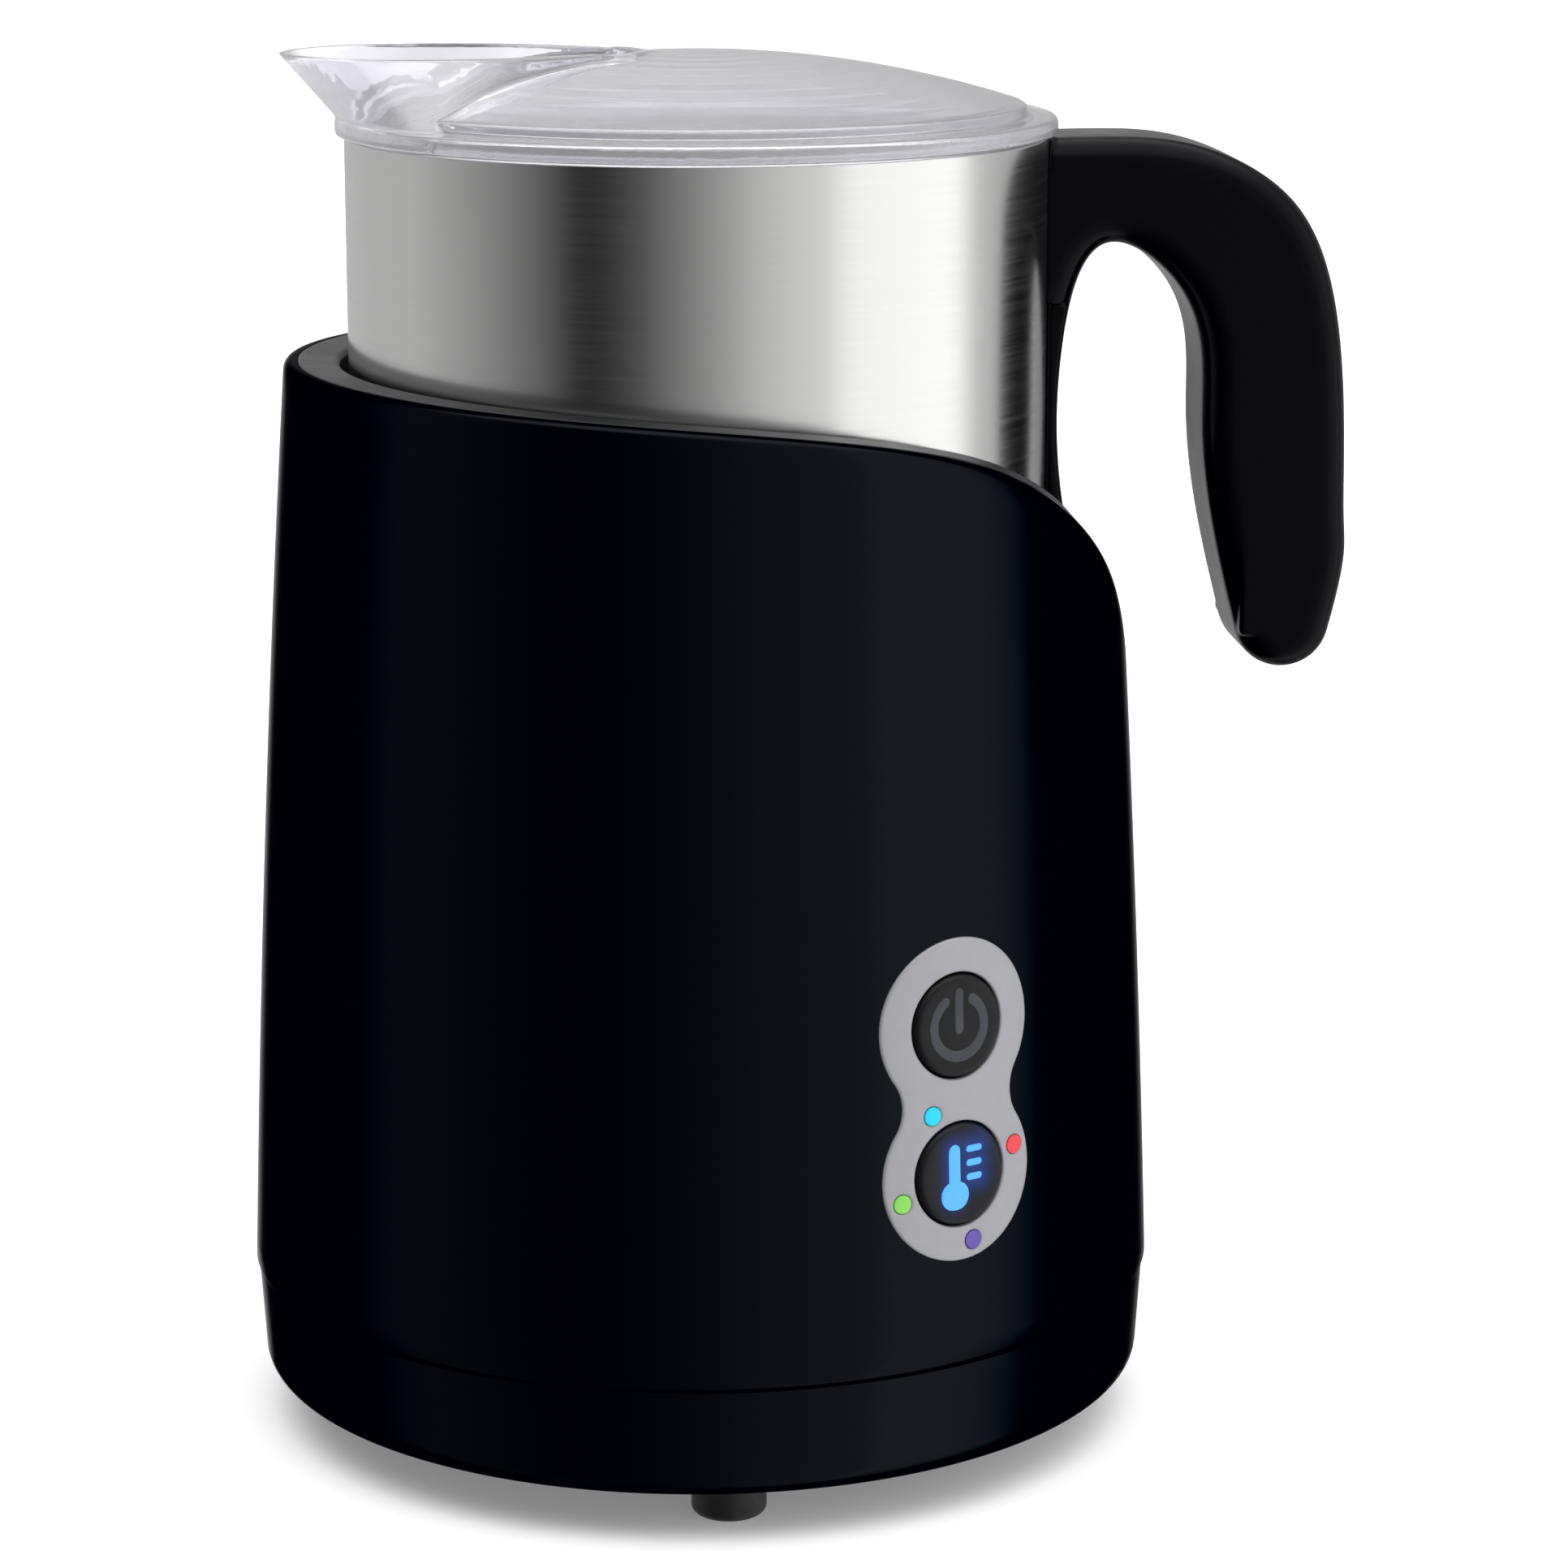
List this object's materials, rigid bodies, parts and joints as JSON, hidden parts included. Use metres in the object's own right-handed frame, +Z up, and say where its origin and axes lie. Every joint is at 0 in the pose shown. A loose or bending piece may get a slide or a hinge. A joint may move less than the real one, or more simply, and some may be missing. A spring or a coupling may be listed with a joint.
{
  "type": "milk frother",
  "caption": "Electric milk frother: black powered base with a slanting rim, brushed steel jug with a hook handle, clear spouted lid and magnetic whisk.",
  "frame": {"origin": "centre of the flat pad under the base, on the jug's axis", "axes": "+Z up along the jug's axis, +X towards the handle, the controls face -Y and +X"},
  "size_m": [0.1598, 0.1324, 0.1996],
  "materials": {
    "gloss_black": "high gloss",
    "rim_black": "satin",
    "handle_black": "semi gloss",
    "rubber": "matt",
    "inlet_black": "matt",
    "plate_silver": "fine satin",
    "button_black": "satin",
    "icon_grey": "satin",
    "icon_blue": "lit from behind",
    "dot_cyan": "satin",
    "dot_red": "satin",
    "dot_green": "satin",
    "dot_violet": "satin",
    "board_green": "solder mask",
    "component_black": "satin",
    "led_white": "clear resin",
    "screw_steel": "zinc plated",
    "copper": "enamelled wire",
    "carrier_plastic": "moulded",
    "ferrite": "matt",
    "motor_steel": "rolled",
    "shaft_steel": "ground",
    "rotor_plastic": "moulded",
    "magnet": "nickel plated",
    "sensor_metal": "satin",
    "spring_steel": "drawn wire",
    "jug_steel": "circular brush",
    "bracket_steel": "stamped",
    "whisk_plastic": "moulded",
    "lid_clear": "polished clear plastic",
    "silicone": "translucent"
  },
  "bodies": {
    "base": {"outer_housing": "gloss_black", "well_liner": "rim_black", "base_pan": "gloss_black", "rubber_feet": "rubber", "base_screws": "screw_steel", "cord_inlet": "inlet_black", "bezel_plate": "plate_silver", "indicator_cyan": "dot_cyan", "indicator_red": "dot_red", "indicator_green": "dot_green", "indicator_violet": "dot_violet", "button_board": "board_green", "button_switches": "component_black", "indicator_leds": "led_white", "button_board_screws": "screw_steel", "power_board": "board_green", "board_parts": "component_black", "board_screws": "screw_steel", "induction_coil": "copper", "coil_carrier": "carrier_plastic", "ferrite_bars": "ferrite", "carrier_screws": "screw_steel", "motor_mount": "motor_steel", "motor_can": "motor_steel", "motor_screws": "screw_steel", "sensor_spring": "spring_steel"},
    "rotor": {"motor_shaft": "shaft_steel", "drive_rotor": "rotor_plastic", "rotor_magnets": "magnet"},
    "power_key": {"power_button": "button_black", "power_icon": "icon_grey"},
    "mode_key": {"mode_button": "button_black", "mode_icon": "icon_blue"},
    "sensor": {"sensor_cap": "sensor_metal"},
    "jug": {"jug_body": "jug_steel", "whisk_pin": "shaft_steel", "handle_shell": "handle_black", "handle_cover": "handle_black", "handle_bracket": "bracket_steel", "handle_screws": "screw_steel"},
    "whisk": {"whisk_hub": "whisk_plastic", "whisk_magnets": "magnet", "whisk_coil": "spring_steel"},
    "lid": {"lid_cover": "lid_clear", "lid_seal": "silicone"}
  },
  "joints": [
    {"name": "jug_lift", "type": "slide", "parent": "base", "child": "jug", "axis": [0, 0, 1], "range_m": [0, 0.085]},
    {"name": "lid_lift", "type": "slide", "parent": "jug", "child": "lid", "axis": [0, 0, 1], "range_m": [0, 0.03]},
    {"name": "rotor_spin", "type": "hinge", "parent": "base", "child": "rotor", "pos_m": [0, 0, 0.06], "axis": [0, 0, 1], "continuous": true},
    {"name": "whisk_spin", "type": "hinge", "parent": "jug", "child": "whisk", "pos_m": [0, 0, 0.08], "axis": [0, 0, 1], "continuous": true},
    {"name": "power_press", "type": "slide", "parent": "base", "child": "power_key", "axis": [-0.4848, 0.8746, 0], "range_m": [0, 0.0008], "stiffness_N_per_m": 1500},
    {"name": "mode_press", "type": "slide", "parent": "base", "child": "mode_key", "axis": [-0.4848, 0.8746, 0], "range_m": [0, 0.0008], "stiffness_N_per_m": 1500},
    {"name": "sensor_press", "type": "slide", "parent": "base", "child": "sensor", "axis": [0, 0, -1], "range_m": [0, 0.001], "stiffness_N_per_m": 300, "springref_m": -0.002, "deforming": ["sensor_spring"]}
  ],
  "couplings": [
    {"joint": "whisk_spin", "follows": "rotor_spin", "ratio": 1}
  ]
}
